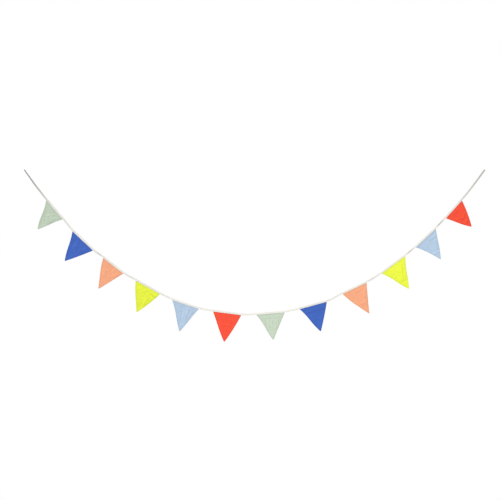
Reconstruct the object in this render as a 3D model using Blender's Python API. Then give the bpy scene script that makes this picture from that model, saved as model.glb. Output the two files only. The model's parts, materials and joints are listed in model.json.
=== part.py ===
"""A fabric bunting: cotton pennants sewn into the fold of a narrow tape that hangs between its two ends.

The scene is in metres and the tables are in millimetres. X runs along the line from the left end,
Z is up, and the pennants' faces look towards -Y. The origin is the left end of the tape.
"""

import math
from collections import namedtuple

import bmesh
import bpy
from mathutils import Matrix, Vector

MM = 0.001

# The line that the tape hangs in
TAPE_LENGTH = 3.000
SPAN = 2.445
LEFT_LEAN = 0.0085  # how much lower the left half hangs than an even curve
DEPTH_SWAY = 0.004  # how far the line wanders towards the front and the back
SWAYS = 3  # half waves of that wander from end to end
LEFT_END_ROLL = math.radians(-46)  # how far the free tails turn about their own length, the face down
RIGHT_END_ROLL = math.radians(-14)

# The tape, folded in half along its length
TAPE_HEIGHT = 0.010
PLY = 0.001
CLOSED_GAP = 0.00035  # between the two plies where no pennant lies
CLEARANCE = 0.0003  # between a ply and a pennant's face
MOUTH_MARGIN = 0.006  # the plies stay open this far past a pennant's corner
MOUTH_TAPER = 0.012  # and close over this length
GAP_STEPS = 8
TAIL_STEPS = 14
CHORD_STEPS = 3

# The pennants
CLOTH = 0.0012
TUCK = 0.0072  # height of a pennant's top inside the fold
TIP_WIDTH = 0.004
COLUMNS = 12
ROWS = 14
FOLD_START = 0.024  # folds grow from nothing at the tape to full depth over this height
OPEN_GAP = CLOTH + 2 * CLEARANCE

# A row for each pennant, from the left. start: its left corner along the tape. width: along the tape's
# lower edge. tip: how far along from the left corner the tip lies, and drop how far below that edge.
# low_left, low_right: how far each corner hangs below the even curve. swing: the tip towards the front,
# in degrees. bow and wave: each slanted edge's outward bulge and its S-curve. cup: how far the middle
# stands out to the front. curl: how far the tip does. turn_after: how far the tape turns about its own
# length halfway to the next pennant, the face upwards, in degrees.
Pennant = namedtuple(
    "Pennant",
    "colour start width tip drop low_left low_right swing bow_left wave_left bow_right wave_right cup curl"
    " turn_after",
)
PENNANTS = (
    Pennant("pale_green", 197, 133, 86, 134, 1, 1, -5, 0, 3, -1, -1, 4, 5, -26),
    Pennant("blue", 410, 149, 78, 141, 6, 5, 2, 0, 2, 2, 0, -4, -4, -38),
    Pennant("coral", 624, 135, 80, 143, 0, 2, -3, 4, -1, 0, 0, 4, 3, -8),
    Pennant("yellow", 834, 147, 84, 145, -3, -2, -6, 4, -1, 4, 0, 6, -3, 0),
    Pennant("light_blue", 1053, 149, 89, 144, 1, 1, -2, -2, 2, 0, -1, -5, 5, 5),
    Pennant("red", 1279, 150, 79, 151, -2, 0, -1, 2, 1, 4, 0, 4, -3, 5),
    Pennant("pale_green", 1510, 150, 77, 138, -2, 0, 5, -2, 2, 0, 0, 5, 4, 6),
    Pennant("blue", 1741, 149, 77, 142, -1, 4, -4, 0, 2, 2, 0, -4, 4, 3),
    Pennant("coral", 1982, 140, 83, 151, -2, 3, 2, 5, -1, -1, 0, 4, -4, -6),
    Pennant("yellow", 2215, 156, 66, 149, 3, 2, 7, -2, 2, -2, -2, 4, 3, -16),
    Pennant("light_blue", 2444, 144, 52, 134, 2, 2, 5, -5, 0, 2, -1, 4, 6, -20),
    Pennant("red", 2667, 127, 59, 129, 1, 2, 1, 3, 1, 4, 0, -4, -3, 0),
)

# A row for each soft fold. pennant: its number from the left. The fold's crest runs between two places,
# each given along the top from the left corner and down from the tape. height: towards the front.
# reach: from the crest to where the fold has all but faded.
Fold = namedtuple("Fold", "pennant from_along from_down to_along to_down height reach")
FOLDS = (
    Fold(1, 104, 6, 124, 34, 1.4, 16),
    Fold(1, 50, 44, 86, 112, -1.2, 26),
    Fold(2, 112, 18, 138, 26, 1.2, 16),
    Fold(2, 44, 40, 76, 112, -1.5, 26),
    Fold(3, 46, 46, 62, 66, 1.2, 20),
    Fold(3, 96, 40, 88, 82, -1.0, 20),
    Fold(4, 82, 11, 134, 20, 2.6, 13),
    Fold(4, 84, 25, 130, 34, -2.4, 13),
    Fold(4, 34, 56, 80, 116, -1.2, 24),
    Fold(4, 100, 56, 98, 84, 1.0, 15),
    Fold(5, 60, 24, 86, 108, -1.2, 20),
    Fold(5, 98, 14, 101, 48, 1.2, 15),
    Fold(6, 34, 44, 110, 52, -1.0, 26),
    Fold(7, 30, 18, 128, 18, 1.0, 13),
    Fold(7, 50, 48, 72, 124, -1.0, 15),
    Fold(8, 36, 27, 126, 24, 0.9, 13),
    Fold(8, 74, 66, 72, 112, -1.2, 20),
    Fold(9, 108, 22, 84, 92, 1.1, 20),
    Fold(9, 52, 40, 72, 102, -1.0, 20),
    Fold(10, 126, 14, 76, 104, -0.9, 18),
    Fold(10, 50, 103, 78, 107, -0.9, 14),
    Fold(11, 122, 20, 70, 112, 1.0, 15),
    Fold(11, 82, 18, 112, 26, 1.2, 13),
    Fold(12, 84, 30, 62, 96, 1.1, 20),
    Fold(12, 40, 30, 54, 76, -0.9, 18),
)

# Colour, roughness and metallic value of each cloth
TAPE_CREAM = ((0.847, 0.831, 0.775), 0.85, 0.0)
CLOTHS = {
    "pale_green": ((0.534, 0.634, 0.497), 0.86, 0.0),
    "blue": ((0.054, 0.137, 0.520), 0.84, 0.0),
    "coral": ((0.931, 0.408, 0.228), 0.85, 0.0),
    "yellow": ((0.805, 0.892, 0.057), 0.85, 0.0),
    "light_blue": ((0.446, 0.578, 0.736), 0.86, 0.0),
    "red": ((0.947, 0.086, 0.042), 0.84, 0.0),
}

# One place along the tape: its point, the direction in which it runs, the direction of its crown,
# and the gap between its plies
Station = namedtuple("Station", "point along crown gap")


def ease(share):
    """Goes from 0 to 1 without a kink at either end, and stays there."""
    share = min(max(share, 0.0), 1.0)
    return share * share * (3 - 2 * share)


def catenary_scale():
    """The scale a for which a curve of TAPE_LENGTH spans SPAN, found by halving an interval."""
    low, high = SPAN / 10, SPAN * 10
    for _ in range(60):
        middle = (low + high) / 2
        if 2 * middle * math.sinh(SPAN / (2 * middle)) > TAPE_LENGTH:
            low = middle
        else:
            high = middle
    return low


CURVE = catenary_scale()


def slope_at(distance):
    """The angle of the even curve at a distance along the tape, negative where it runs down."""
    return math.atan((distance - TAPE_LENGTH / 2) / CURVE)


def line_point(distance, low=0.0):
    """The point of the hanging line at a distance along the tape, lowered square to it."""
    offset = CURVE * math.asinh((distance - TAPE_LENGTH / 2) / CURVE)
    height = CURVE * (math.cosh(offset / CURVE) - math.cosh(SPAN / (2 * CURVE)))
    height += LEFT_LEAN * math.sin(2 * math.pi * offset / SPAN)
    depth = DEPTH_SWAY * math.sin(SWAYS * math.pi * distance / TAPE_LENGTH)
    slope = slope_at(distance)
    return Vector((SPAN / 2 + offset + low * math.sin(slope), depth, height - low * math.cos(slope)))


def crown_direction(along, roll):
    """Upwards and square to the run of the tape, turned so that what hangs below swings forward."""
    up = Vector((0, 0, 1))
    up = (up - up.dot(along) * along).normalized()
    front = along.cross(up)
    return (up * math.cos(roll) - front * math.sin(roll)).normalized()


def chord(row):
    """The two ends of the straight stretch of tape that a pennant holds, and how it is turned."""
    left = line_point(row.start * MM, row.low_left * MM)
    right = line_point((row.start + row.width) * MM, row.low_right * MM)
    return left, right, math.radians(row.swing)


def end_stop(distance, roll):
    """A held end, as a stretch of no length: the next one starts along the even curve."""
    point = line_point(distance)
    slope = slope_at(distance)
    return point, point, roll, Vector((math.cos(slope), 0, math.sin(slope)))


def bend(left, right, before, after, steps):
    """The points and directions of a soft bend between two straight stretches, ends left out."""
    length = (right - left).length
    for step in range(1, steps):
        t = step / steps
        point = left * (2 * t**3 - 3 * t**2 + 1) + right * (3 * t**2 - 2 * t**3)
        point += before * length * (t**3 - 2 * t**2 + t) + after * length * (t**3 - t**2)
        along = (right - left) * (6 * t - 6 * t**2)
        along += before * length * (3 * t**2 - 4 * t + 1) + after * length * (3 * t**2 - 2 * t)
        yield t, point, along.normalized()


def ply_gap(clear):
    """The gap between the plies at a distance from the nearest pennant's corner."""
    closed = ease((clear - MOUTH_MARGIN) / MOUTH_TAPER)
    return OPEN_GAP + (CLOSED_GAP - OPEN_GAP) * closed


def tape_stations():
    """All places along the tape: straight along each pennant, softly bent between them."""
    stretches = [end_stop(0.0, LEFT_END_ROLL)]
    for row in PENNANTS:
        left, right, roll = chord(row)
        stretches.append((left, right, roll, (right - left).normalized()))
    stretches.append(end_stop(TAPE_LENGTH, RIGHT_END_ROLL))

    stations = []
    last = len(stretches) - 1
    for number, (left, right, roll, along) in enumerate(stretches):
        at_end = number in (0, last)
        steps = 0 if at_end else CHORD_STEPS
        gap = CLOSED_GAP if at_end else OPEN_GAP
        for step in range(steps + 1):
            point = left.lerp(right, step / max(steps, 1))
            stations.append(Station(point, along, crown_direction(along, roll), gap))
        if number == last:
            break
        next_left, _, next_roll, next_along = stretches[number + 1]
        turn = math.radians(PENNANTS[number - 1].turn_after) if number > 0 else 0.0
        bends = TAIL_STEPS if number in (0, last - 1) else GAP_STEPS
        length = (next_left - right).length
        for t, point, direction in bend(right, next_left, along, next_along, bends):
            from_left = t * length if number > 0 else length
            from_right = (1 - t) * length if number + 1 < last else length
            twist = roll + (next_roll - roll) * ease(t) + turn * math.sin(math.pi * t) ** 2
            crown = crown_direction(direction, twist)
            stations.append(Station(point, direction, crown, ply_gap(min(from_left, from_right))))
    return stations


def tape_section(gap):
    """The folded tape cut across, as depth and height about its middle, going round its outside first."""
    half = TAPE_HEIGHT / 2
    outer = gap / 2 + PLY
    inner = gap / 2
    turn = math.sin(math.pi / 4)
    shoulder = half - outer
    front = [(-outer, -half), (-outer, shoulder), (-outer * turn, shoulder + outer * turn)]
    outside = front + [(0, half)] + [(-depth, height) for depth, height in reversed(front)]
    inside = [(inner, -half), (inner, shoulder), (0, half - PLY), (-inner, shoulder), (-inner, -half)]
    return outside + inside


def new_object(name, mesh_shape, cloth):
    """An object of a finished bmesh, with its faces outward and its own cloth."""
    bmesh.ops.recalc_face_normals(mesh_shape, faces=mesh_shape.faces)
    mesh = bpy.data.meshes.new(name)
    mesh_shape.to_mesh(mesh)
    mesh_shape.free()
    mesh.shade_smooth()
    mesh.set_sharp_from_angle(angle=math.radians(40))
    mesh.materials.append(cloth)
    made = bpy.data.objects.new(name, mesh)
    bpy.context.collection.objects.link(made)
    return made


def cloth_material(name, finish):
    """A plain cotton cloth of one colour."""
    colour, roughness, metallic = finish
    cloth = bpy.data.materials.new(name)
    cloth.use_nodes = True
    shader = cloth.node_tree.nodes["Principled BSDF"]
    shader.inputs["Base Color"].default_value = (*colour, 1.0)
    shader.inputs["Roughness"].default_value = roughness
    shader.inputs["Metallic"].default_value = metallic
    return cloth


def make_tape():
    """The tape, one folded sheet drawn along the line, with its cut ends closed."""
    shape = bmesh.new()
    rings = []
    for station in tape_stations():
        back = station.crown.cross(station.along)
        ring = [
            shape.verts.new(station.point + back * depth + station.crown * height)
            for depth, height in tape_section(station.gap)
        ]
        rings.append(ring)
    for ring, following in zip(rings, rings[1:]):
        for here in range(len(ring)):
            beside = (here + 1) % len(ring)
            shape.faces.new((ring[here], ring[beside], following[beside], following[here]))
    shape.faces.new(rings[0])
    shape.faces.new(rings[-1])
    return new_object("tape", shape, cloth_material("tape_cream", TAPE_CREAM))


def edge_places(row, down):
    """Where the left and the right edge of a pennant lie along its top, at a height below the tape."""
    share = down / row.drop
    inside = max(share, 0.0)
    tip = TIP_WIDTH / MM / 2
    left = (row.tip - tip) * share
    left -= 4 * row.bow_left * inside * (1 - inside) - row.wave_left * math.sin(2 * math.pi * inside)
    right = row.width + (row.tip + tip - row.width) * share
    right += 4 * row.bow_right * inside * (1 - inside) + row.wave_right * math.sin(2 * math.pi * inside)
    return left, right


def fold_height(fold, along, down):
    """How far one soft fold stands out at a place on its pennant."""
    run = Vector((fold.to_along - fold.from_along, fold.to_down - fold.from_down))
    place = Vector((along - fold.from_along, down - fold.from_down))
    share = min(max(place.dot(run) / run.length_squared, 0.0), 1.0)
    away = (place - run * share).length
    return fold.height * math.exp(-((away / fold.reach * 2) ** 2))


def cloth_depth(number, row, along, down, across):
    """How far the cloth stands out to the front at a place, across being 0 to 1 from edge to edge."""
    share = max(down / row.drop, 0.0)
    height = sum(fold_height(fold, along, down) for fold in FOLDS if fold.pennant == number)
    height += row.cup * math.sin(math.pi * across) * math.sin(math.pi * share) * (1 - share)
    height += row.curl * share**2
    return height * ease(down * MM / FOLD_START)


def make_pennant(number, row, cloth):
    """One pennant, a three-cornered sheet whose straight top stands in the fold of the tape."""
    downs = [-TUCK / MM] + [row.drop * step / (ROWS - 1) for step in range(ROWS)]
    shape = bmesh.new()
    front, back = [], []
    for down in downs:
        left, right = edge_places(row, down)
        for side, face in ((front, -CLOTH / 2), (back, CLOTH / 2)):
            line = []
            for column in range(COLUMNS + 1):
                across = column / COLUMNS
                along = left + (right - left) * across
                depth = face - cloth_depth(number, row, along, down, across) * MM
                line.append(shape.verts.new((along * MM, depth, -down * MM)))
            side.append(line)
    for side in (front, back):
        for upper, lower in zip(side, side[1:]):
            for column in range(COLUMNS):
                shape.faces.new((upper[column], upper[column + 1], lower[column + 1], lower[column]))
    front_rim, back_rim = rim(front), rim(back)
    for here in range(len(front_rim)):
        beside = (here + 1) % len(front_rim)
        shape.faces.new((front_rim[here], front_rim[beside], back_rim[beside], back_rim[here]))
    made = new_object(f"pennant_{number:02d}_{row.colour}", shape, cloth)
    place_pennant(made, row)
    return made


def rim(lines):
    """The outline of a face, once round."""
    right = [line[-1] for line in lines[1:-1]]
    left = [line[0] for line in lines[1:-1]]
    return lines[0] + right + lines[-1][::-1] + left[::-1]


def place_pennant(made, row):
    """Hangs a pennant from its stretch of tape, its origin at the tape's lower edge."""
    start, end, roll = chord(row)
    along = (end - start).normalized()
    crown = crown_direction(along, roll)
    back = crown.cross(along)
    made.location = start - crown * (TAPE_HEIGHT / 2)
    made.rotation_euler = Matrix((along, back, crown)).transposed().to_euler()


for old in list(bpy.data.objects):
    bpy.data.objects.remove(old)

make_tape()
dyed = {colour: cloth_material(f"cotton_{colour}", finish) for colour, finish in CLOTHS.items()}
for count, pennant in enumerate(PENNANTS, start=1):
    make_pennant(count, pennant, dyed[pennant.colour])
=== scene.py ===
"""The looks of a fabric bunting: a row of cotton pennants sewn into a folded tape that hangs in a deep curve.

Lengths are in metres and the tables are in millimetres. X runs along the line from the left end, Z is up,
and the pennants' faces look towards -Y, as in the frame.
"""

import json
import math
from collections import namedtuple

import bmesh
import bpy
from mathutils import Matrix, Vector, noise


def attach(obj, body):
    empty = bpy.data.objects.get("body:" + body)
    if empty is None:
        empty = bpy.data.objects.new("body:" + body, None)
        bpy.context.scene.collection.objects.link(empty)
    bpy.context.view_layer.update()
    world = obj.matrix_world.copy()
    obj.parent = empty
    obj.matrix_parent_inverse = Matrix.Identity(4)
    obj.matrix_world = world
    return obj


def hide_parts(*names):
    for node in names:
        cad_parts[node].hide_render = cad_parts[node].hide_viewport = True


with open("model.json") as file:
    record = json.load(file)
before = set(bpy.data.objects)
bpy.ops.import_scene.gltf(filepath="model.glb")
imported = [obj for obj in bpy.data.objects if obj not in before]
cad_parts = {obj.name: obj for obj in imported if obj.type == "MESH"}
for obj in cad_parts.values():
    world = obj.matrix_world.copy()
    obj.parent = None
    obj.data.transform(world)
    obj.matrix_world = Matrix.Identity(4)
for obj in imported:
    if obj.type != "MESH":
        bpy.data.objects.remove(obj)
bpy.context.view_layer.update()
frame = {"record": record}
MM = 0.001

# The tape.
# A narrow woven cotton tape, undyed, folded in half along its length over the pennants' tops and sewn shut
# along its lower edge. It hangs from its two ends in the curve of a chain. A pennant's straight top holds
# its stretch of the tape flat, so the tape bends and turns only in the gaps and in the two free tails.
TAPE_LENGTH = 3.000
SPAN = frame["record"]["mounts"][1]["pos_m"][0]  # from the left held end to the right one
LEFT_LEAN = 0.0085  # how much lower the left half hangs than an even curve
DEPTH_SWAY = 0.004  # how far the line wanders towards the front and the back
SWAYS = 3  # half waves of that wander from end to end
LEFT_END_ROLL = math.radians(-46)  # how far the free tails turn about their own length, the face down
RIGHT_END_ROLL = math.radians(-22)
TAPE_HEIGHT = 0.010
TAPE_PLY = 0.0005
TAPE_SHUT = 0.0001  # between the plies where no pennant lies
TAPE_OPEN = 0.0011  # and over a pennant
MOUTH_MARGIN = 0.006  # the plies stay open this far past a pennant's corner
MOUTH_TAPER = 0.012  # and close over this length
TAPE_CELL = 0.003  # length of a cell of the tape's mesh
LEG_CELLS = 6  # cells up each half of the fold
CROWN_CELLS = 6  # and round its crown
RUFFLE = 0.0005  # unevenness of the sewn tape
RUFFLES_BACK = 45  # how many waves of it lie in a metre, to the front and the back
RUFFLES_UP = 30  # and up and down
HELD_RUFFLE = 0.4  # the share of the waves up and down that stays where a pennant holds the tape
SHARP_ANGLE = math.radians(50)  # the edges of a cut are sharper than this and aren't smoothed
TAPE_COLOUR = (0.820, 0.800, 0.745)
TAPE_THREAD = 0.0006  # from one thread of the tape's weave to the next
TAPE_RELIEF = 0.00015  # the height of that weave

# A row for each held end: between two distances along the tape a painted shade goes from the first factor to
# the last, darkening the tape towards the held ends
TailPaintedShade = namedtuple("TailPaintedShade", "start end first last")
TAIL_PAINTED_SHADES = (TailPaintedShade(0.08, 0.25, 0.56, 1.0), TailPaintedShade(2.72, 2.84, 1.0, 0.82))

# The cotton of the tape and the pennants. Scales are counted in a metre, and spreads are shares of the tone.
HOLLOW_PAINTED_SHADE = 0.78  # painted shade between the threads of the weave
CREST_PAINTED_HIGHLIGHT = 1.06  # and painted highlight on top of them
YARNS_ACROSS = 1900.0  # scale of the thick and thin yarns across their run
YARNS_ALONG = 40.0  # and along it
WARP_SPREAD = 0.05
WEFT_SPREAD = 0.065
DYE_BLOTCHES = ((24.0, 0.025), (130.0, 0.015))  # scale and spread of each unevenness of the dye
NAP_SCALE = 900.0
NAP_SPREAD = 0.06
NAP_ROUGHNESS = 0.86
NOISE_RANGE = (0.3, 0.7)  # where nearly all the values of a noise pattern lie

# A row for each pennant, from the left. start: its left corner along the tape. width: along the tape's
# lower edge. tip: how far along from the left corner the tip lies, and drop how far below that edge.
# low_left, low_right: how far each corner hangs below the even curve. swing: the tip towards the front,
# in degrees. bow and wave: each slanted edge's outward bulge and its S-curve. cup: how far the middle
# stands out to the front. curl: how far the tip does. turn_after: how far the tape turns about its own
# length halfway to the next pennant, the face upwards, in degrees.
Pennant = namedtuple(
    "Pennant",
    "colour start width tip drop low_left low_right swing bow_left wave_left bow_right wave_right cup curl"
    " turn_after",
)
PENNANTS = (
    Pennant("pale_green", 197, 133, 86, 134, 1, 1, -5, 0, 3, -1, -1, 1, 5, -26),
    Pennant("blue", 410, 149, 78, 141, 6, 5, 2, 0, 2, 2, 0, 0, -4, -38),
    Pennant("coral", 624, 135, 80, 143, 0, 2, -3, 4, -1, 0, 0, 0, 3, -8),
    Pennant("yellow", 834, 147, 84, 145, -3, -2, -6, 4, -1, 4, 0, 3, -3, 0),
    Pennant("light_blue", 1053, 149, 89, 144, 1, 1, -2, -2, 2, 0, -1, 0, 5, 5),
    Pennant("red", 1279, 150, 79, 151, -2, 0, -1, 2, 1, 4, 0, 0, -3, 5),
    Pennant("pale_green", 1510, 150, 77, 138, -2, 0, 5, -2, 2, 0, 0, 0, 4, 6),
    Pennant("blue", 1741, 149, 77, 142, -1, 4, -4, 0, 2, 2, 0, -1, 4, 3),
    Pennant("coral", 1982, 140, 83, 151, -2, 3, 2, 5, -1, -1, 0, 0, -4, -13),
    Pennant("yellow", 2215, 156, 66, 149, 3, 2, 7, -2, 2, -2, -2, 3, 3, -23),
    Pennant("light_blue", 2444, 144, 52, 134, 2, 2, 5, -5, 0, 2, -1, 0, 6, -27),
    Pennant("red", 2667, 127, 59, 129, 1, 2, 1, 3, 1, 4, 0, -1, -3, 0),
)


def ease(share):
    """Goes from 0 to 1 without a kink at either end, and stays there."""
    share = min(max(share, 0.0), 1.0)
    return share * share * (3 - 2 * share)


HALVINGS = 60  # of the range in which the curve's scale is sought


def curve_scale():
    """The scale for which a chain's curve of the tape's length spans the held ends."""
    low, high = SPAN / 10, SPAN * 10  # a very deep curve and a nearly level one
    for _ in range(HALVINGS):
        middle = (low + high) / 2
        if 2 * middle * math.sinh(SPAN / (2 * middle)) > TAPE_LENGTH:
            low = middle
        else:
            high = middle
    return low


CURVE = curve_scale()


def slope_at(distance):
    """The angle of the even curve at a distance along the tape, negative where it runs down."""
    return math.atan((distance - TAPE_LENGTH / 2) / CURVE)


def line_point(distance, low=0.0):
    """The point of the hanging line at a distance along the tape, lowered square to it."""
    offset = CURVE * math.asinh((distance - TAPE_LENGTH / 2) / CURVE)
    height = CURVE * (math.cosh(offset / CURVE) - math.cosh(SPAN / (2 * CURVE)))
    height += LEFT_LEAN * math.sin(2 * math.pi * offset / SPAN)
    depth = DEPTH_SWAY * math.sin(SWAYS * math.pi * distance / TAPE_LENGTH)
    slope = slope_at(distance)
    return Vector((SPAN / 2 + offset + low * math.sin(slope), depth, height - low * math.cos(slope)))


def crown_direction(along, roll):
    """Upwards and square to the run of the tape, turned so that what hangs below swings forward."""
    up = Vector((0, 0, 1))
    up = (up - up.dot(along) * along).normalized()
    front = along.cross(up)
    return (up * math.cos(roll) - front * math.sin(roll)).normalized()


# A straight stretch of the tape: where it starts and ends along it, its end points, how far it is turned
# about itself, the way in which it runs, and how far the tape turns in the gap that follows it
Stretch = namedtuple("Stretch", "start end left right roll along turn_after")


def held_end(distance, roll):
    """A held end, as a stretch of no length that points along the even curve."""
    point = line_point(distance)
    slope = slope_at(distance)
    along = Vector((math.cos(slope), 0, math.sin(slope)))
    return Stretch(distance, distance, point, point, roll, along, 0.0)


def pennant_stretch(row):
    """The stretch of tape that a pennant holds straight."""
    start, end = row.start * MM, (row.start + row.width) * MM
    left, right = line_point(start, row.low_left * MM), line_point(end, row.low_right * MM)
    roll, turn_after = math.radians(row.swing), math.radians(row.turn_after)
    return Stretch(start, end, left, right, roll, (right - left).normalized(), turn_after)


STRETCHES = [held_end(0.0, LEFT_END_ROLL)]
STRETCHES += [pennant_stretch(row) for row in PENNANTS]
STRETCHES += [held_end(TAPE_LENGTH, RIGHT_END_ROLL)]
LAST = len(STRETCHES) - 1


def tape_place(distance):
    """The point, direction and crown of the tape at a distance along it, and how clear it is of pennants."""
    number = next(count for count, stretch in enumerate(STRETCHES) if distance <= stretch.end)
    after = STRETCHES[number]
    if distance >= after.start:
        share = (distance - after.start) / max(after.end - after.start, MM)
        clear = TAPE_LENGTH if number in (0, LAST) else 0.0
        crown = crown_direction(after.along, after.roll)
        return after.left.lerp(after.right, share), after.along, crown, clear
    before = STRETCHES[number - 1]
    reach = (after.left - before.right).length
    t = (distance - before.end) / (after.start - before.end)
    point = before.right * (2 * t**3 - 3 * t**2 + 1) + after.left * (3 * t**2 - 2 * t**3)
    point += before.along * reach * (t**3 - 2 * t**2 + t) + after.along * reach * (t**3 - t**2)
    along = (after.left - before.right) * (6 * t - 6 * t**2)
    along += before.along * reach * (3 * t**2 - 4 * t + 1) + after.along * reach * (3 * t**2 - 2 * t)
    along.normalize()
    twist = before.roll + (after.roll - before.roll) * ease(t)
    twist += before.turn_after * math.sin(math.pi * t) ** 2
    clear_left = distance - before.end if number > 1 else TAPE_LENGTH
    clear_right = after.start - distance if number < LAST else TAPE_LENGTH
    return point, along, crown_direction(along, twist), min(clear_left, clear_right)


def tape_gap(clear):
    """The gap between the tape's plies at a distance from the nearest pennant's corner."""
    return TAPE_OPEN + (TAPE_SHUT - TAPE_OPEN) * ease((clear - MOUTH_MARGIN) / MOUTH_TAPER)


def tape_fold(gap, cell):
    """Depth, height and flat width at a cell of the fold, from its front lower edge round the crown."""
    radius = (gap + TAPE_PLY) / 2
    leg = TAPE_HEIGHT - radius - TAPE_PLY / 2
    foot = -TAPE_HEIGHT / 2
    if cell <= LEG_CELLS:
        height = leg * cell / LEG_CELLS
        return -radius, foot + height, height
    if cell <= LEG_CELLS + CROWN_CELLS:
        turn = math.pi * (cell - LEG_CELLS) / CROWN_CELLS
        return -radius * math.cos(turn), foot + leg + radius * math.sin(turn), leg + radius * turn
    height = leg * (2 * LEG_CELLS + CROWN_CELLS - cell) / LEG_CELLS
    return radius, foot + height, 2 * leg + math.pi * radius - height


def ruffle(distance, clear):
    """How far the sewn tape strays in depth and height, least where a pennant holds it flat."""
    free = ease(clear / MOUTH_TAPER)
    held = HELD_RUFFLE + (1 - HELD_RUFFLE) * free
    depth = RUFFLE * free * noise.noise(Vector((distance * RUFFLES_BACK, 1.0, 0.5)))
    height = RUFFLE * held * noise.noise(Vector((distance * RUFFLES_UP, 2.0, 0.5)))
    return depth, height


def lay_sheet(name, columns, rows, layers, place):
    """A flat grid laid into the shape of a sheet, corner by corner, with the given UV layers."""
    bpy.ops.object.select_all(action="DESELECT")
    bpy.ops.mesh.primitive_grid_add(x_subdivisions=columns, y_subdivisions=rows, size=2, calc_uvs=True)
    sheet = bpy.context.object
    sheet.name = sheet.data.name = name
    flats = []
    for vertex in sheet.data.vertices:
        column = round((vertex.co.x + 1) / 2 * columns)
        row = round((vertex.co.y + 1) / 2 * rows)
        vertex.co, *flat = place(column, row)
        flats.append(flat)
    sheet.data.uv_layers.remove(sheet.data.uv_layers[0])
    for number, layer in enumerate(layers):
        measure = sheet.data.uv_layers.new(name=layer)
        for loop in sheet.data.loops:
            measure.data[loop.index].uv = flats[loop.vertex_index][number]
    return sheet


def thicken(sheet, thickness):
    """Gives a sheet its thickness to both sides, closes its rim and shades it smooth except at its cuts."""
    bpy.ops.object.select_all(action="DESELECT")
    sheet.select_set(True)
    bpy.context.view_layer.objects.active = sheet
    cloth = sheet.modifiers.new("cloth", "SOLIDIFY")
    cloth.thickness = thickness
    cloth.offset = 0.0
    cloth.use_rim = True
    bpy.ops.object.modifier_apply(modifier=cloth.name)
    bpy.ops.object.mode_set(mode="EDIT")
    bpy.ops.mesh.select_all(action="SELECT")
    bpy.ops.mesh.normals_make_consistent(inside=False)
    bpy.ops.object.mode_set(mode="OBJECT")
    bpy.ops.object.shade_smooth_by_angle(angle=SHARP_ANGLE)


def cloth_measure(tree, layer):
    """The two flat measures of a cloth at a point, from one of its UV layers."""
    place = tree.nodes.new("ShaderNodeUVMap")
    place.uv_map = layer
    split = tree.nodes.new("ShaderNodeSeparateXYZ")
    tree.links.new(place.outputs["UV"], split.inputs["Vector"])
    return split.outputs["X"], split.outputs["Y"]


def worked(tree, operation, first, second=0.0):
    """A sum on one or two values."""
    node = tree.nodes.new("ShaderNodeMath")
    node.operation = operation
    for socket, value in zip(node.inputs, (first, second)):
        if isinstance(value, float):
            socket.default_value = value
        else:
            tree.links.new(value, socket)
    return node.outputs["Value"]


def ranged(tree, value, low, high, to_low, to_high):
    """A value brought from one range to another and held inside it."""
    node = tree.nodes.new("ShaderNodeMapRange")
    for socket, given in zip(node.inputs, (value, low, high, to_low, to_high)):
        if isinstance(given, float):
            socket.default_value = given
        else:
            tree.links.new(given, socket)
    return node.outputs["Result"]


def shaded(tree, colour, *factors):
    """A colour, darkened or lightened by each factor in turn."""
    tone = colour
    for factor in factors:
        node = tree.nodes.new("ShaderNodeMix")
        node.data_type = "RGBA"
        node.blend_type = "MULTIPLY"
        node.inputs[0].default_value = 1.0
        if isinstance(tone, tuple):
            node.inputs[6].default_value = (*tone, 1.0)
        else:
            tree.links.new(tone, node.inputs[6])
        tree.links.new(factor, node.inputs[7])
        tone = node.outputs[2]
    return tone


def blotches(tree, scale, spread):
    """A soft unevenness over the whole piece, as a factor about 1."""
    place = tree.nodes.new("ShaderNodeTexCoord")
    blotch = tree.nodes.new("ShaderNodeTexNoise")
    blotch.inputs["Scale"].default_value = scale
    blotch.inputs["Detail"].default_value = 3.0
    tree.links.new(place.outputs["Object"], blotch.inputs["Vector"])
    return ranged(tree, blotch.outputs["Fac"], *NOISE_RANGE, 1.0 - spread, 1.0 + spread)


def slubs(tree, across, along, spread):
    """Thick and thin yarns: streaks drawn out along one way of the weave, as a factor about 1."""
    place = tree.nodes.new("ShaderNodeUVMap")
    place.uv_map = "weave"
    stretch = tree.nodes.new("ShaderNodeVectorMath")
    stretch.operation = "MULTIPLY"
    stretch.inputs[1].default_value = (across, along, 0.0)
    tree.links.new(place.outputs["UV"], stretch.inputs[0])
    streak = tree.nodes.new("ShaderNodeTexNoise")
    streak.inputs["Scale"].default_value = 1.0
    streak.inputs["Detail"].default_value = 1.0
    tree.links.new(stretch.outputs["Vector"], streak.inputs["Vector"])
    return ranged(tree, streak.outputs["Fac"], *NOISE_RANGE, 1.0 - spread, 1.0 + spread)


def plain_weave(tree, thread):
    """The relief of a plain weave, from -1 to 1: warp and weft pass over and under each other by turns."""
    warp, weft = cloth_measure(tree, "weave")
    lines = [worked(tree, "SINE", worked(tree, "MULTIPLY", way, math.pi / thread)) for way in (warp, weft)]
    return worked(tree, "MULTIPLY", *lines)


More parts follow.
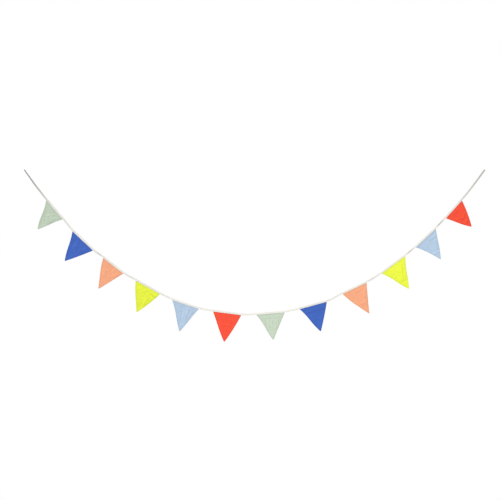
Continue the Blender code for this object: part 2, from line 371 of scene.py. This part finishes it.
def woven_cotton(name, colour, thread, depth, shade):
    """Matt plain-woven cotton: painted shade between its threads and painted highlight on them, with thick
    and thin yarns and a soft nap.
    """
    cloth = bpy.data.materials.new(name)
    cloth.use_nodes = True
    tree = cloth.node_tree
    shader = tree.nodes["Principled BSDF"]
    relief = plain_weave(tree, thread)
    # painted shade in the hollows of the weave and painted highlight on its threads
    weave_painted_shade = ranged(tree, relief, -1.0, 1.0, HOLLOW_PAINTED_SHADE, CREST_PAINTED_HIGHLIGHT)
    warp_yarns = slubs(tree, YARNS_ACROSS, YARNS_ALONG, WARP_SPREAD)
    weft_yarns = slubs(tree, YARNS_ALONG, YARNS_ACROSS, WEFT_SPREAD)
    dye = [blotches(tree, scale, spread) for scale, spread in DYE_BLOTCHES]
    tone = shaded(tree, colour, weave_painted_shade, warp_yarns, weft_yarns, *dye, shade(tree))
    tree.links.new(tone, shader.inputs["Base Color"])
    nap = blotches(tree, NAP_SCALE, NAP_SPREAD)
    tree.links.new(worked(tree, "MULTIPLY", nap, NAP_ROUGHNESS), shader.inputs["Roughness"])
    shader.inputs["Specular IOR Level"].default_value = 0.2
    shader.inputs["Sheen Weight"].default_value = 0.1
    shader.inputs["Sheen Roughness"].default_value = 0.5
    bump = tree.nodes.new("ShaderNodeBump")
    bump.inputs["Strength"].default_value = 0.6
    bump.inputs["Distance"].default_value = depth
    tree.links.new(worked(tree, "ADD", relief, weft_yarns), bump.inputs["Height"])
    tree.links.new(bump.outputs["Normal"], shader.inputs["Normal"])
    return cloth


def tail_painted_shade(tree):
    """Painted shade: the tape is darker towards its two held ends, as a factor."""
    distance, _ = cloth_measure(tree, "weave")
    shades = [ranged(tree, distance, *grey) for grey in TAIL_PAINTED_SHADES]
    return worked(tree, "MULTIPLY", *shades)


tape_columns = round(TAPE_LENGTH / TAPE_CELL)
tape_rows = 2 * LEG_CELLS + CROWN_CELLS


def tape_corner(column, row):
    """A corner of the tape's sheet: its point and its place on the flat tape."""
    distance = TAPE_LENGTH * column / tape_columns
    point, along, crown, clear = tape_place(distance)
    depth, height, width = tape_fold(tape_gap(clear), row)
    stray_back, stray_up = ruffle(distance, clear)
    point = point + crown.cross(along) * (depth + stray_back) + crown * (height + stray_up)
    return point, (distance, width)


tape = lay_sheet("folded_tape", tape_columns, tape_rows, ["weave"], tape_corner)
thicken(tape, TAPE_PLY)
# the tape's material darkens it towards the held ends with a painted shade
tape.data.materials.append(woven_cotton("undyed_tape", TAPE_COLOUR, TAPE_THREAD, TAPE_RELIEF, tail_painted_shade))
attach(tape, "root")
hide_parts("tape")

# The pennants.
# Three-cornered pieces of plain-woven cotton, dyed, with both slanted edges turned to the back in a narrow
# hem. Their straight tops stand in the fold of the tape, and they hang with the soft folds of packed cloth.
CLOTH = 0.0004
PLY_PITCH = 0.0005  # from the middle of the front ply to the middle of the turned hem
TUCK = 0.0072  # height of a pennant's top inside the fold of the tape
TIP_WIDTH = 0.004
HEM = 0.007
HEM_GAP = 0.0003  # between the two hems where they meet at the tip
HEM_CELLS = 4  # cells of the mesh across each hem
TURN_CELLS = 4  # round the turn of each hem
FACE_CELLS = 72  # across the face
DOWN_CELLS = 88  # and down the pennant
CLOTH_THREAD = 0.0005  # from one thread of the pennants' weave to the next
CLOTH_RELIEF = 0.00012  # the height of that weave
PAINTED_EDGE_SHADE = 0.93  # painted shade on the doubled hems, where less light comes through, and painted shadow on the tops under the tape
HEM_BLUR = 0.001  # to each side of the hem's edge, where that painted shade fades
TOP_BLUR = (0.004, 0.009)  # the heights below the tape between which the painted shadow on the top fades
FOLD_START = 0.024  # folds grow from nothing at the tape to full depth over this height

# The slight unevenness of the whole face, and the finer puckers along the slanted edges and along the tape,
# in millimetres: how high, how far apart, and over what reach a pucker fades. A seed times the pennant's
# number gives each its own pattern.
RUMPLE = 0.5
RUMPLE_ALONG = 17
RUMPLE_DOWN = 23
RUMPLE_SEED = 7.3
EDGE_PUCKER = 0.35
EDGE_PUCKER_PITCH = 4.2
EDGE_PUCKER_REACH = 8
EDGE_PUCKER_SEED = 3.1
TOP_PUCKER = 0.6 * EDGE_PUCKER
TOP_PUCKER_PITCH = 4.6
TOP_PUCKER_REACH = 9
TOP_PUCKER_SEED = 5.7
SLOPE_STEP = 0.5  # between the two places that give a face's slope
DYES = {
    "pale_green": (0.534, 0.634, 0.497),
    "blue": (0.054, 0.137, 0.520),
    "coral": (0.931, 0.408, 0.228),
    "yellow": (0.805, 0.892, 0.057),
    "light_blue": (0.446, 0.578, 0.736),
    "red": (0.947, 0.086, 0.042),
}

# A row for each soft fold. pennant: its number from the left. The fold's crest runs between two places,
# each given along the top from the left corner and down from the tape. height: towards the front.
# reach: from the crest to where the fold has all but faded.
Fold = namedtuple("Fold", "pennant from_along from_down to_along to_down height reach")
FOLDS = (
    Fold(1, 104, 6, 124, 34, 1.1, 16),
    Fold(1, 50, 44, 86, 112, -1.2, 26),
    Fold(1, 86, 18, 66, 48, 1.0, 9),
    Fold(1, 105, 26, 98, 62, 1.2, 9),
    Fold(1, 84, 40, 89, 60, 1.0, 9),
    Fold(1, 66, 62, 90, 90, -1.2, 10),
    Fold(2, 112, 18, 138, 26, 1.2, 16),
    Fold(2, 44, 40, 76, 112, -1.5, 26),
    Fold(2, 63, 24, 68, 52, 1.2, 16),
    Fold(2, 114, 20, 98, 54, 1.3, 9),
    Fold(2, 126, 18, 110, 54, 1.3, 9),
    Fold(3, 46, 46, 62, 66, 0.8, 20),
    Fold(3, 96, 40, 88, 82, -0.6, 20),
    Fold(3, 85, 10, 87, 28, 1.1, 10),
    Fold(3, 115, 26, 97, 50, 1.2, 9),
    Fold(3, 89, 58, 87, 80, 1.1, 9),
    Fold(3, 48, 48, 56, 74, 0.7, 9),
    Fold(4, 81, 10, 133, 22, 2.9, 13),
    Fold(4, 84, 25, 130, 36, -2.6, 13),
    Fold(4, 34, 56, 80, 116, -1.2, 24),
    Fold(4, 100, 56, 98, 84, 1.0, 15),
    Fold(4, 68, 28, 90, 33, 1.8, 9),
    Fold(4, 46, 18, 32, 32, 0.7, 10),
    Fold(4, 82, 98, 88, 128, -1.2, 13),
    Fold(5, 60, 24, 86, 108, -1.2, 20),
    Fold(5, 98, 14, 101, 48, 1.8, 14),
    Fold(5, 54, 10, 60, 44, 0.9, 13),
    Fold(5, 64, 52, 70, 82, 0.9, 9),
    Fold(5, 81, 42, 84, 82, 0.9, 9),
    Fold(5, 94, 52, 99, 84, 1.0, 9),
    Fold(5, 118, 28, 112, 58, 1.4, 10),
    Fold(5, 84, 90, 88, 118, 0.7, 9),
    Fold(6, 34, 44, 110, 52, -1.0, 26),
    Fold(6, 30, 15, 126, 12, 1.3, 9),
    Fold(6, 60, 64, 100, 62, 1.6, 12),
    Fold(6, 96, 46, 110, 44, 1.6, 9),
    Fold(7, 30, 18, 128, 18, 1.0, 13),
    Fold(7, 50, 48, 72, 124, -1.0, 15),
    Fold(7, 61, 36, 63, 68, 1.2, 9),
    Fold(7, 78, 34, 79, 84, 1.2, 9),
    Fold(7, 98, 38, 96, 78, 1.2, 9),
    Fold(7, 111, 36, 109, 68, 1.2, 9),
    Fold(7, 66, 84, 78, 120, 1.1, 9),
    Fold(8, 36, 27, 126, 24, 1.5, 13),
    Fold(8, 74, 66, 72, 112, -1.2, 20),
    Fold(8, 40, 9, 76, 18, 1.2, 8),
    Fold(8, 84, 9, 120, 19, 1.2, 8),
    Fold(9, 108, 22, 84, 92, 0.7, 20),
    Fold(9, 52, 40, 72, 102, -1.0, 20),
    Fold(9, 84, 17, 106, 18, 1.5, 9),
    Fold(9, 64, 18, 80, 17, 1.0, 9),
    Fold(9, 131, 22, 109, 66, 1.5, 8),
    Fold(9, 118, 26, 100, 60, 1.4, 8),
    Fold(9, 64, 90, 92, 86, 1.0, 10),
    Fold(10, 126, 14, 76, 104, -0.6, 18),
    Fold(10, 50, 103, 78, 107, -0.9, 14),
    Fold(10, 113, 20, 70, 92, 1.5, 8),
    Fold(10, 101, 68, 80, 98, 1.1, 8),
    Fold(10, 40, 58, 66, 56, 0.8, 10),
    Fold(11, 122, 20, 70, 112, 1.0, 15),
    Fold(11, 82, 18, 112, 26, 2.0, 12),
    Fold(11, 102, 40, 74, 80, 1.8, 8),
    Fold(11, 114, 44, 86, 86, 1.8, 8),
    Fold(11, 42, 50, 50, 80, -1.4, 9),
    Fold(11, 42, 92, 68, 97, 1.3, 10),
    Fold(12, 84, 30, 62, 96, 1.1, 20),
    Fold(12, 40, 30, 54, 76, -0.9, 18),
    Fold(12, 38, 47, 58, 66, 1.5, 9),
    Fold(12, 60, 68, 90, 54, 1.5, 9),
    Fold(12, 50, 96, 74, 86, 1.2, 9),
    Fold(12, 60, 14, 78, 15, 1.5, 10),
)
FOLDS_OF = {
    number: [fold for fold in FOLDS if fold.pennant == number] for number in range(1, len(PENNANTS) + 1)
}


def edge_places(row, down):
    """Where the left and the right edge of a pennant lie along its top, at a height below the tape."""
    share = down / row.drop
    inside = max(share, 0.0)
    tip = TIP_WIDTH / MM / 2
    left = (row.tip - tip) * share
    left -= 4 * row.bow_left * inside * (1 - inside) - row.wave_left * math.sin(2 * math.pi * inside)
    right = row.width + (row.tip + tip - row.width) * share
    right += 4 * row.bow_right * inside * (1 - inside) + row.wave_right * math.sin(2 * math.pi * inside)
    return left, right


def fold_height(fold, along, down):
    """How far one soft fold stands out at a place on its pennant."""
    run = Vector((fold.to_along - fold.from_along, fold.to_down - fold.from_down))
    place = Vector((along - fold.from_along, down - fold.from_down))
    share = min(max(place.dot(run) / run.length_squared, 0.0), 1.0)
    away = (place - run * share).length
    return fold.height * math.exp(-((away / fold.reach * 2) ** 2))


def uneven(along, down, seed):
    """A smooth unevenness between -1 and 1 with features about one unit across."""
    return noise.noise(Vector((along, down, seed)))


def cloth_height(number, row, along, down):
    """How far a pennant's face stands out to the front at a place, in millimetres."""
    left, right = edge_places(row, down)
    across = min(max((along - left) / (right - left), 0.0), 1.0)
    share = max(down / row.drop, 0.0)
    height = sum(fold_height(fold, along, down) for fold in FOLDS_OF[number])
    height += row.cup * math.sin(math.pi * across) * math.sin(math.pi * share) * (1 - share)
    height += row.curl * share**2
    height += RUMPLE * uneven(along / RUMPLE_ALONG, down / RUMPLE_DOWN, number * RUMPLE_SEED)
    edge_fade = math.exp(-max(min(along - left, right - along), 0.0) / EDGE_PUCKER_REACH)
    height += EDGE_PUCKER * edge_fade * uneven(down / EDGE_PUCKER_PITCH, across, number * EDGE_PUCKER_SEED)
    top_fade = math.exp(-max(down, 0.0) / TOP_PUCKER_REACH)
    height += TOP_PUCKER * top_fade * uneven(along / TOP_PUCKER_PITCH, 0.5, number * TOP_PUCKER_SEED)
    return height * ease(down * MM / FOLD_START)


def cloth_point(number, row, hang, along, down, behind):
    """A point of a pennant in the scene, some way behind the middle of its front ply."""
    here = cloth_height(number, row, along, down)
    rise_along = (cloth_height(number, row, along + SLOPE_STEP, down) - here) / SLOPE_STEP
    rise_down = (cloth_height(number, row, along, down + SLOPE_STEP) - here) / SLOPE_STEP
    back = Vector((rise_along, 1.0, -rise_down)).normalized()
    return hang @ (Vector((along, -here, -down)) * MM + back * (behind - PLY_PITCH / 2))


def hanging(row):
    """The place and turn of a pennant: its origin at the tape's lower edge, at its left corner."""
    stretch = pennant_stretch(row)
    crown = crown_direction(stretch.along, stretch.roll)
    turn = Matrix((stretch.along, crown.cross(stretch.along), crown)).transposed().to_4x4()
    return Matrix.Translation(stretch.left - crown * (TAPE_HEIGHT / 2)) @ turn


sheet_cells = 2 * (HEM_CELLS + TURN_CELLS) + FACE_CELLS


def across_sheet(cell, left, right):
    """At a cell across the sheet: its place along, how far behind the face, its flat place and its inset."""
    if cell > sheet_cells / 2:
        along, behind, flat, inset = across_sheet(sheet_cells - cell, left, right)
        return left + right - along, behind, left + right - flat, inset
    hem = min(HEM, (right - left) / 2 - HEM_GAP)
    bend = PLY_PITCH / 2
    if cell <= HEM_CELLS:
        inset = hem + (bend - hem) * cell / HEM_CELLS
        return left + inset, PLY_PITCH, left - inset, inset
    if cell <= HEM_CELLS + TURN_CELLS:
        turn = math.pi * (cell - HEM_CELLS) / TURN_CELLS
        inset = bend * (1 - math.sin(turn))
        return left + inset, bend * (1 + math.cos(turn)), left + bend * (2 * turn / math.pi - 1), inset
    share = (cell - HEM_CELLS - TURN_CELLS) / FACE_CELLS
    inset = bend + (right - left - 2 * bend) * share
    return left + inset, 0.0, left + inset, inset


def flat_area(row):
    """The area of a pennant's cut cloth: its face, what stands in the tape, and its two turned hems."""
    face = row.width * row.drop * MM * MM / 2
    return face + row.width * MM * TUCK + 2 * HEM * row.drop * MM


def painted_hem_and_top_shade(tree):
    """Painted shade: the doubled hems are darker where less light comes through them, and the tops carry a
    painted shadow just under the tape.
    """
    inset, down = cloth_measure(tree, "hem")
    hems = ranged(tree, inset, HEM - HEM_BLUR, HEM + HEM_BLUR, PAINTED_EDGE_SHADE, 1.0)
    top = ranged(tree, down, *TOP_BLUR, PAINTED_EDGE_SHADE, 1.0)
    return worked(tree, "MULTIPLY", hems, top)


dyed_cotton = {}
for number, row in enumerate(PENNANTS, start=1):
    if row.colour not in dyed_cotton:
        # each dyed cotton darkens its hems with painted shade and its tops with a painted shadow
        dyed_cotton[row.colour] = woven_cotton(
            f"cotton_{row.colour}", DYES[row.colour], CLOTH_THREAD, CLOTH_RELIEF, painted_hem_and_top_shade
        )
    hang = hanging(row)

    def pennant_corner(cell, level):
        """A corner of this pennant's sheet: its point, and its place on the flat cloth and in the hem."""
        down = row.drop - (row.drop + TUCK / MM) * level / DOWN_CELLS
        left, right = edge_places(row, down)
        along, behind, flat, inset = across_sheet(cell, left * MM, right * MM)
        point = cloth_point(number, row, hang, along / MM, down, behind)
        return point, (flat, -down * MM), (inset, down * MM)

    solid = f"pennant_{number:02d}_{row.colour}"
    pennant = lay_sheet(f"cloth_{solid}", sheet_cells, DOWN_CELLS, ["weave", "hem"], pennant_corner)
    thicken(pennant, CLOTH)
    pennant.data.materials.append(dyed_cotton[row.colour])
    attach(pennant, "root")
    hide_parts(solid)
    flat_area(row)

# The sewing.
# Lockstitch in spun thread: a row along each hem in the pennant's own colour, and a row along the tape's
# lower edge in undyed thread, with a short bar across each cut end. Each stitch shows on both faces.
STITCH_PITCH = 0.0026
STITCH_SIZE = (0.0021, 0.00034, 0.00026)  # length, width and height above and below the cloth's face
HEM_ROW = 5.2  # from a pennant's slanted edge, in millimetres
HEM_ROW_START = 2.0  # below the tape, in millimetres
TAPE_ROW = 0.0016  # above the tape's lower edge
BAR_INSET = 0.003  # from a cut end of the tape
BAR_STITCHES = 3
BAR_START = 0.7  # of a stitch's pitch, from the row up to the bar's first stitch
THREAD_SHADE = 0.88  # of the cloth's colour
TWIST_SCALE = 2500.0  # the thread's fine twist: how fine
TWIST_SPREAD = 0.12  # how much lighter and darker
TWIST_RELIEF = 0.00005  # and how high

bpy.ops.object.select_all(action="DESELECT")
bpy.ops.mesh.primitive_uv_sphere_add(segments=6, ring_count=5, radius=0.5)
one_stitch = bpy.context.object
bpy.ops.object.mode_set(mode="EDIT")
bpy.ops.mesh.select_all(action="SELECT")
bpy.ops.transform.rotate(value=math.radians(90), orient_axis="Y", center_override=(0, 0, 0))
bpy.ops.transform.resize(value=STITCH_SIZE, center_override=(0, 0, 0))
bpy.ops.object.mode_set(mode="OBJECT")
bpy.ops.object.shade_smooth()


def sew(name, places, thread):
    """A piece of many stitches: the modelled one copied to each point, along its run and out of the cloth."""
    sewing = bmesh.new()
    for point, run, out in places:
        side = out.cross(run).normalized()
        turn = Matrix((run, side, run.cross(side))).transposed().to_4x4()
        stitch = one_stitch.data.copy()
        stitch.transform(Matrix.Translation(point) @ turn)
        sewing.from_mesh(stitch)
        bpy.data.meshes.remove(stitch)
    mesh = bpy.data.meshes.new(name)
    sewing.to_mesh(mesh)
    sewing.free()
    mesh.materials.append(thread)
    sewn = bpy.data.objects.new(name, mesh)
    bpy.context.collection.objects.link(sewn)
    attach(sewn, "root")


def thread_tail_painted_shade(tree):
    """Painted shade: the thread on the two free tails is darkened as the tape is."""
    place = tree.nodes.new("ShaderNodeTexCoord")
    split = tree.nodes.new("ShaderNodeSeparateXYZ")
    tree.links.new(place.outputs["Object"], split.inputs["Vector"])
    across = split.outputs["X"]
    shades = [
        ranged(tree, across, line_point(grey.start).x, line_point(grey.end).x, grey.first, grey.last)
        for grey in TAIL_PAINTED_SHADES
    ]
    return worked(tree, "MULTIPLY", *shades)


def spun_thread(name, colour, *shades):
    """Spun thread: a little deeper and shinier than the cloth, with a fine twist."""
    thread = bpy.data.materials.new(name)
    thread.use_nodes = True
    tree = thread.node_tree
    shader = tree.nodes["Principled BSDF"]
    twist = blotches(tree, TWIST_SCALE, TWIST_SPREAD)
    deeper = tuple(channel * THREAD_SHADE for channel in colour)
    tone = shaded(tree, deeper, twist, *(shade(tree) for shade in shades))
    tree.links.new(tone, shader.inputs["Base Color"])
    shader.inputs["Roughness"].default_value = 0.6
    bump = tree.nodes.new("ShaderNodeBump")
    bump.inputs["Strength"].default_value = 0.4
    bump.inputs["Distance"].default_value = TWIST_RELIEF
    tree.links.new(twist, bump.inputs["Height"])
    tree.links.new(bump.outputs["Normal"], shader.inputs["Normal"])
    return thread


def tape_row():
    """The row along the tape's lower edge on both faces, and the bars across its cut ends."""
    count = int(TAPE_LENGTH / STITCH_PITCH)
    row_places = [(TAPE_LENGTH * (index + 0.5) / count, TAPE_ROW) for index in range(count)]
    bar_places = [
        (distance, TAPE_ROW + STITCH_PITCH * (step + BAR_START))
        for distance in (BAR_INSET, TAPE_LENGTH - BAR_INSET)
        for step in range(BAR_STITCHES)
    ]
    for distance, above in row_places + bar_places:
        point, along, crown, clear = tape_place(distance)
        back = crown.cross(along)
        stray_back, stray_up = ruffle(distance, clear)
        run = along if above == TAPE_ROW else crown
        for face in (-1, 1):
            outer = stray_back + face * (tape_gap(clear) / 2 + TAPE_PLY)
            yield point + back * outer + crown * (above + stray_up - TAPE_HEIGHT / 2), run, back * face


def hem_row(number, row, hang, right_side, behind, out):
    """The row along one hem, on the face or on the back."""

    def row_point(down, further_out=0.0):
        left, right = edge_places(row, down)
        along = right - HEM_ROW if right_side else left + HEM_ROW
        return cloth_point(number, row, hang, along, down, behind + further_out)

    count = int(math.hypot(row.drop, row.width / 2) * MM / STITCH_PITCH)
    for index in range(count):
        down = HEM_ROW_START + row.drop * (index + 0.5) / count
        left, right = edge_places(row, down)
        if right - left < 2 * HEM_ROW:
            break
        point = row_point(down)
        yield point, (row_point(down + 1) - point).normalized(), (row_point(down, out) - point).normalized()


# the undyed thread carries the same painted shade towards the held ends
undyed_thread = spun_thread("thread_undyed", TAPE_COLOUR, thread_tail_painted_shade)
sew("thread_tape", tape_row(), undyed_thread)
threads = {colour: spun_thread(f"thread_{colour}", dye) for colour, dye in DYES.items()}
for number, row in enumerate(PENNANTS, start=1):
    hang = hanging(row)
    places = []
    for right_side in (False, True):
        places += hem_row(number, row, hang, right_side, -CLOTH / 2, -CLOTH)
        places += hem_row(number, row, hang, right_side, PLY_PITCH + CLOTH / 2, CLOTH)
    sew(f"thread_pennant_{number:02d}", places, threads[row.colour])
bpy.data.objects.remove(one_stitch)

# The studio.
# A pale floor well below the line, a white surround, a broad soft light from above on the left in front,
# a weak one from the right, and one from behind for the backs of the pennants.
EYE_DISTANCE = 6.269  # in front of the line
EYE_ACROSS = 1.1987  # from the left held end
EYE_HEIGHT = -0.4262
FLOOR_HEIGHT = -2.2
FLOOR_RADIUS = 1.6
FLOOR_COLOUR = (0.80, 0.80, 0.79, 1.0)
WHITE = (1.0, 1.0, 1.0, 1.0)
SURROUND = 0.32  # the light of the surround on the piece

bpy.ops.object.select_all(action="DESELECT")
bpy.ops.mesh.primitive_circle_add(
    vertices=64, radius=FLOOR_RADIUS, fill_type="NGON", location=(SPAN / 2, 0, FLOOR_HEIGHT)
)
floor = bpy.context.object
floor.name = "floor"
matt = bpy.data.materials.new("pale_floor")
matt.use_nodes = True
paint = matt.node_tree.nodes["Principled BSDF"]
paint.inputs["Base Color"].default_value = FLOOR_COLOUR
paint.inputs["Roughness"].default_value = 0.9
floor.data.materials.append(matt)

world = bpy.data.worlds.new("surround")
bpy.context.scene.world = world
world.use_nodes = True
surround = world.node_tree
seen = surround.nodes["Background"]
seen.inputs["Color"].default_value = WHITE
seen.inputs["Strength"].default_value = 1.0
shining = surround.nodes.new("ShaderNodeBackground")
shining.inputs["Color"].default_value = WHITE
shining.inputs["Strength"].default_value = SURROUND
ray = surround.nodes.new("ShaderNodeLightPath")
either = surround.nodes.new("ShaderNodeMixShader")
surround.links.new(ray.outputs["Is Camera Ray"], either.inputs["Fac"])
surround.links.new(shining.outputs["Background"], either.inputs[1])
surround.links.new(seen.outputs["Background"], either.inputs[2])
surround.links.new(either.outputs["Shader"], surround.nodes["World Output"].inputs["Surface"])


def soft_light(name, direction, strength, spread):
    """A broad even light that shines in a direction, its edge softened by a spread in degrees."""
    lamp = bpy.data.lights.new(name, "SUN")
    lamp.energy = strength
    lamp.angle = math.radians(spread)
    shining_from = bpy.data.objects.new(name, lamp)
    bpy.context.collection.objects.link(shining_from)
    shining_from.rotation_euler = Vector(direction).to_track_quat("-Z", "Y").to_euler()


soft_light("key", direction=(0.45, 0.65, -0.61), strength=3.05, spread=25)
soft_light("fill", direction=(-0.64, 0.75, -0.15), strength=0.42, spread=40)
soft_light("behind", direction=(0.30, -0.76, -0.57), strength=2.3, spread=30)

lens = bpy.data.cameras.new("eye")
lens.lens = 85
lens.sensor_width = 36
eye = bpy.data.objects.new("eye", lens)
bpy.context.collection.objects.link(eye)
eye.location = (EYE_ACROSS, -EYE_DISTANCE, EYE_HEIGHT)
eye.rotation_euler = (math.radians(90), 0, 0)
bpy.context.scene.camera = eye
bpy.context.scene.view_settings.view_transform = "Standard"
